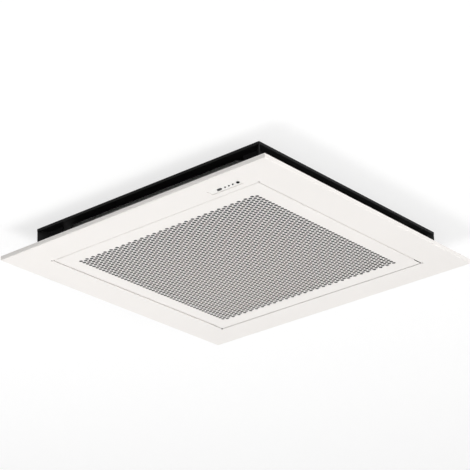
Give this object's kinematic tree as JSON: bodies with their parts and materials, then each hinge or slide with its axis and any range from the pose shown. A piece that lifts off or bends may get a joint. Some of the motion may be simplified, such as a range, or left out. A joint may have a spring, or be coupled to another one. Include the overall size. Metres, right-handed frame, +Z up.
{
  "type": "ceiling cassette air conditioner",
  "caption": "Square ceiling cassette air conditioner: white sheet-steel panel with a hinged perforated inlet door, black outlet band on all sides, fan, coil and casing above.",
  "frame": {"origin": "centre of the ceiling opening, on the finished ceiling's visible face", "axes": "+Z up into the ceiling void; the panel hangs below at -Z; -Y is the front, with the receiver; the inlet door hinges at +Y; pipes leave at +X"},
  "size_m": [0.7, 0.7, 0.3228],
  "materials": {
    "white_steel": "satin warm white powder coat",
    "white_plastic": "moulded, fine satin",
    "grey_plastic": "moulded, satin",
    "black_plastic": "moulded, fine matt texture",
    "seal_foam": "closed-cell foam",
    "galvanised_steel": "zinc coated with a faint spangle",
    "bright_steel": "bright zinc plate",
    "styrene_foam": "expanded bead foam",
    "dark_plastic": "moulded, satin",
    "filter_net": "fine woven net",
    "lamp_lens": "clear smoked lens",
    "coil_aluminium": "thin rolled fins",
    "copper": "drawn copper tube",
    "brass": "turned",
    "mount_rubber": "moulded"
  },
  "bodies": {
    "unit": {"face_frame": "white_steel", "receiver_plate": "white_plastic", "receiver_housing": "white_plastic", "bell_mouth": "white_plastic", "drain_pump": "white_plastic", "float_stem": "white_plastic", "drain_hose": "grey_plastic", "drain_spigot": "grey_plastic", "diffuser_frame": "black_plastic", "infrared_window": "black_plastic", "ceiling_seal": "seal_foam", "panel_bracket_front": "galvanised_steel", "panel_bracket_right": "galvanised_steel", "panel_bracket_back": "galvanised_steel", "panel_bracket_left": "galvanised_steel", "casing_shell": "galvanised_steel", "coil_plate_right": "galvanised_steel", "coil_plate_back": "galvanised_steel", "pipe_plate": "galvanised_steel", "motor_bracket": "galvanised_steel", "pump_bracket": "galvanised_steel", "control_box": "galvanised_steel", "control_lid": "galvanised_steel", "suspension_bracket_right_back": "galvanised_steel", "suspension_bracket_left_back": "galvanised_steel", "suspension_bracket_left_front": "galvanised_steel", "suspension_bracket_right_front": "galvanised_steel", "hinge_bracket_left": "bright_steel", "hinge_pin_left": "bright_steel", "hinge_bracket_right": "bright_steel", "hinge_pin_right": "bright_steel", "insulation_liner": "styrene_foam", "drip_tray": "styrene_foam", "door_catch_left": "dark_plastic", "door_catch_right": "dark_plastic", "fan_motor": "dark_plastic", "cable_gland": "dark_plastic", "indicator_lens_1": "lamp_lens", "indicator_lens_2": "lamp_lens", "indicator_lens_3": "lamp_lens", "heat_exchanger": "coil_aluminium", "gas_pipe": "copper", "liquid_pipe": "copper", "gas_flare_nut": "brass", "liquid_flare_nut": "brass", "motor_mount_1": "mount_rubber", "motor_mount_2": "mount_rubber", "motor_mount_3": "mount_rubber"},
    "door": {"inlet_door": "white_steel", "door_knuckle_left": "bright_steel", "door_knuckle_right": "bright_steel", "strike_plate_left": "bright_steel", "strike_plate_right": "bright_steel"},
    "filter": {"filter_frame": "dark_plastic", "filter_net": "filter_net"},
    "fan": {"fan_impeller": "white_plastic", "motor_shaft": "bright_steel", "fan_nut": "bright_steel"},
    "float": {"float": "white_plastic"},
    "button": {"receiver_button": "grey_plastic"}
  },
  "joints": [
    {"name": "door_hinge", "type": "hinge", "parent": "unit", "child": "door", "pos_m": [0, 0.268, -0.066], "axis": [1, 0, 0], "range_deg": [0, 88]},
    {"name": "filter_lift", "type": "slide", "parent": "door", "child": "filter", "axis": [0, 0, 1], "range_m": [0, 0.016]},
    {"name": "fan_spin", "type": "hinge", "parent": "unit", "child": "fan", "pos_m": [0, 0, 0.12], "axis": [0, 0, 1], "continuous": true},
    {"name": "float_rise", "type": "slide", "parent": "unit", "child": "float", "axis": [0, 0, 1], "range_m": [0, 0.012]},
    {"name": "button_press", "type": "slide", "parent": "unit", "child": "button", "axis": [0, 0, 1], "range_m": [0, 0.001], "stiffness_N_per_m": 400, "springref_m": -0.0005}
  ]
}
